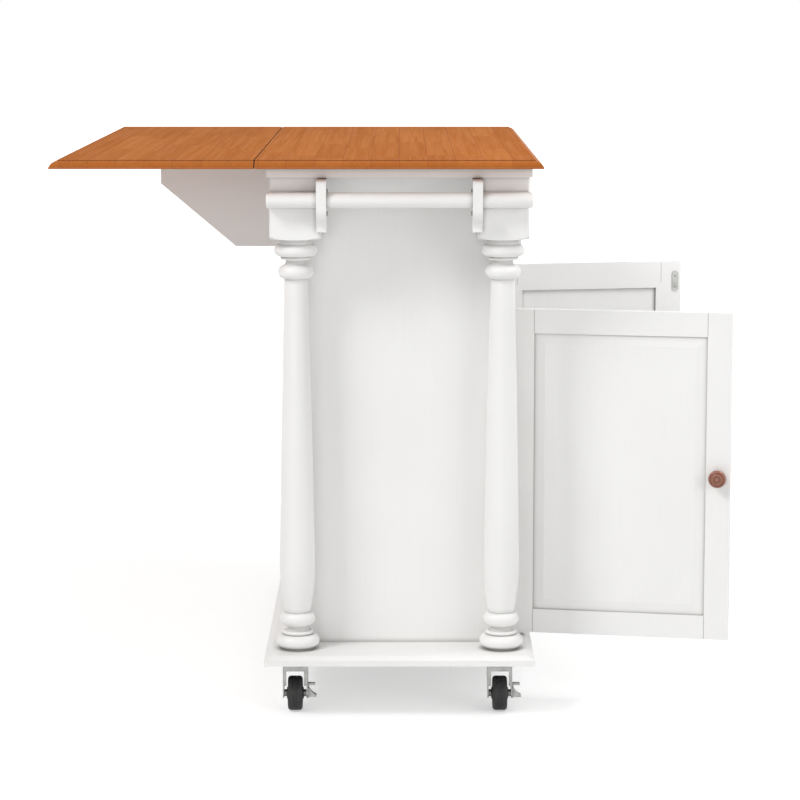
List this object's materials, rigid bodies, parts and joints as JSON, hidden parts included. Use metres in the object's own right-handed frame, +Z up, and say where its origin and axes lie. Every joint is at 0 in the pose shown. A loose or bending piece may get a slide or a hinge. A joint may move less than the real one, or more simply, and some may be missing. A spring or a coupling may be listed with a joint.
{
  "type": "kitchen island cart",
  "caption": "White kitchen island cart on braked casters: stained wood top, raised drop leaf on swing-out supports, turned corner posts, towel bar, drawers and open panel doors.",
  "frame": {"origin": "on the floor under the middle of the cabinet, mid-way between the two ends", "axes": "+Z up, +X towards the front where the doors and drawers open, -Y towards the end with the towel bar"},
  "size_m": [1.1047, 1.14, 0.914],
  "materials": {
    "white_wood": "satin white paint",
    "stained_wood": "satin orange-brown stain",
    "knob_wood": "satin reddish-brown stain",
    "zinc_steel": "zinc plated",
    "black_wheel": "matt black",
    "brown_plastic": "matt"
  },
  "bodies": {
    "cart": {"back_panel": "white_wood", "base_board": "white_wood", "bracket_screws": "zinc_steel", "cabinet_floor_and_deck": "white_wood", "caster_plates": "zinc_steel", "caster_screws": "zinc_steel", "door_catches": "brown_plastic", "door_hinge_frame_halves": "zinc_steel", "drawer_divider": "white_wood", "drawer_rails": "white_wood", "end_caps": "white_wood", "end_panels": "white_wood", "frame_rails": "white_wood", "frame_stiles": "white_wood", "leaf_hinge_top_halves": "zinc_steel", "post_far_back": "white_wood", "post_far_front": "white_wood", "post_near_back": "white_wood", "post_near_front": "white_wood", "shelf": "white_wood", "shelf_pins": "zinc_steel", "support_hinge_back_halves": "zinc_steel", "top_panel": "white_wood", "towel_bar": "white_wood", "towel_brackets": "white_wood", "worktop": "stained_wood"},
    "caster_far_back_fork": {"caster_far_back_fork": "zinc_steel"},
    "caster_far_back_lever": {"caster_far_back_lever": "zinc_steel"},
    "caster_far_back_wheel": {"caster_far_back_wheel": "black_wheel"},
    "caster_far_front_fork": {"caster_far_front_fork": "zinc_steel"},
    "caster_far_front_lever": {"caster_far_front_lever": "zinc_steel"},
    "caster_far_front_wheel": {"caster_far_front_wheel": "black_wheel"},
    "caster_near_back_fork": {"caster_near_back_fork": "zinc_steel"},
    "caster_near_back_lever": {"caster_near_back_lever": "zinc_steel"},
    "caster_near_back_wheel": {"caster_near_back_wheel": "black_wheel"},
    "caster_near_front_fork": {"caster_near_front_fork": "zinc_steel"},
    "caster_near_front_lever": {"caster_near_front_lever": "zinc_steel"},
    "caster_near_front_wheel": {"caster_near_front_wheel": "black_wheel"},
    "far_door": {"door_far_hardware": "zinc_steel", "door_far_knob": "knob_wood", "door_far_panel": "white_wood", "door_far_rails": "white_wood", "door_far_stiles": "white_wood"},
    "near_door": {"door_near_hardware": "zinc_steel", "door_near_knob": "knob_wood", "door_near_panel": "white_wood", "door_near_rails": "white_wood", "door_near_stiles": "white_wood"},
    "far_drawer": {"drawer_far_box": "white_wood", "drawer_far_front": "white_wood", "drawer_far_knob": "knob_wood"},
    "near_drawer": {"drawer_near_box": "white_wood", "drawer_near_front": "white_wood", "drawer_near_knob": "knob_wood"},
    "leaf": {"drop_leaf": "stained_wood", "leaf_hinge_leaf_halves": "zinc_steel"},
    "far_support": {"support_far": "white_wood", "support_far_hinge_halves": "zinc_steel"},
    "near_support": {"support_near": "white_wood", "support_near_hinge_halves": "zinc_steel"}
  },
  "joints": [
    {"name": "leaf_lift", "type": "hinge", "parent": "cart", "child": "leaf", "pos_m": [-0.2305, 0, 0.8972], "axis": [0, 1, 0], "range_deg": [0, 4]},
    {"name": "near_support_swing", "type": "hinge", "parent": "cart", "child": "near_support", "pos_m": [-0.1868, -0.2292, 0.82], "axis": [0, 0, 1], "range_deg": [-90, 0]},
    {"name": "far_support_swing", "type": "hinge", "parent": "cart", "child": "far_support", "pos_m": [-0.1868, 0.2292, 0.82], "axis": [0, 0, 1], "range_deg": [0, 90]},
    {"name": "near_door_swing", "type": "hinge", "parent": "cart", "child": "near_door", "pos_m": [0.185, -0.3713, 0.3845], "axis": [0, 0, 1], "range_deg": [0, 100.8]},
    {"name": "far_door_swing", "type": "hinge", "parent": "cart", "child": "far_door", "pos_m": [0.185, 0.3713, 0.3845], "axis": [0, 0, 1], "range_deg": [-100.8, 0]},
    {"name": "near_drawer_slide", "type": "slide", "parent": "cart", "child": "near_drawer", "axis": [1, 0, 0], "range_m": [0, 0.25]},
    {"name": "far_drawer_slide", "type": "slide", "parent": "cart", "child": "far_drawer", "axis": [1, 0, 0], "range_m": [0, 0.25]},
    {"name": "caster_near_front_swivel", "type": "hinge", "parent": "cart", "child": "caster_near_front_fork", "pos_m": [0.16595, -0.47, 0.0779], "axis": [0, 0, 1], "continuous": true},
    {"name": "caster_near_front_roll", "type": "hinge", "parent": "caster_near_front_fork", "child": "caster_near_front_wheel", "pos_m": [0.16595, -0.484, 0.0285], "axis": [1, 0, 0], "continuous": true},
    {"name": "caster_near_front_brake", "type": "hinge", "parent": "caster_near_front_fork", "child": "caster_near_front_lever", "pos_m": [0.16595, -0.484, 0.0285], "axis": [1, 0, 0], "range_deg": [-12, 12]},
    {"name": "caster_near_back_swivel", "type": "hinge", "parent": "cart", "child": "caster_near_back_fork", "pos_m": [-0.17235, -0.47, 0.0779], "axis": [0, 0, 1], "continuous": true},
    {"name": "caster_near_back_roll", "type": "hinge", "parent": "caster_near_back_fork", "child": "caster_near_back_wheel", "pos_m": [-0.17235, -0.484, 0.0285], "axis": [1, 0, 0], "continuous": true},
    {"name": "caster_near_back_brake", "type": "hinge", "parent": "caster_near_back_fork", "child": "caster_near_back_lever", "pos_m": [-0.17235, -0.484, 0.0285], "axis": [1, 0, 0], "range_deg": [-12, 12]},
    {"name": "caster_far_front_swivel", "type": "hinge", "parent": "cart", "child": "caster_far_front_fork", "pos_m": [0.16595, 0.47, 0.0779], "axis": [0, 0, 1], "continuous": true},
    {"name": "caster_far_front_roll", "type": "hinge", "parent": "caster_far_front_fork", "child": "caster_far_front_wheel", "pos_m": [0.16595, 0.484, 0.0285], "axis": [1, 0, 0], "continuous": true},
    {"name": "caster_far_front_brake", "type": "hinge", "parent": "caster_far_front_fork", "child": "caster_far_front_lever", "pos_m": [0.16595, 0.484, 0.0285], "axis": [1, 0, 0], "range_deg": [-12, 12]},
    {"name": "caster_far_back_swivel", "type": "hinge", "parent": "cart", "child": "caster_far_back_fork", "pos_m": [-0.17235, 0.47, 0.0779], "axis": [0, 0, 1], "continuous": true},
    {"name": "caster_far_back_roll", "type": "hinge", "parent": "caster_far_back_fork", "child": "caster_far_back_wheel", "pos_m": [-0.17235, 0.484, 0.0285], "axis": [1, 0, 0], "continuous": true},
    {"name": "caster_far_back_brake", "type": "hinge", "parent": "caster_far_back_fork", "child": "caster_far_back_lever", "pos_m": [-0.17235, 0.484, 0.0285], "axis": [1, 0, 0], "range_deg": [-12, 12]}
  ]
}
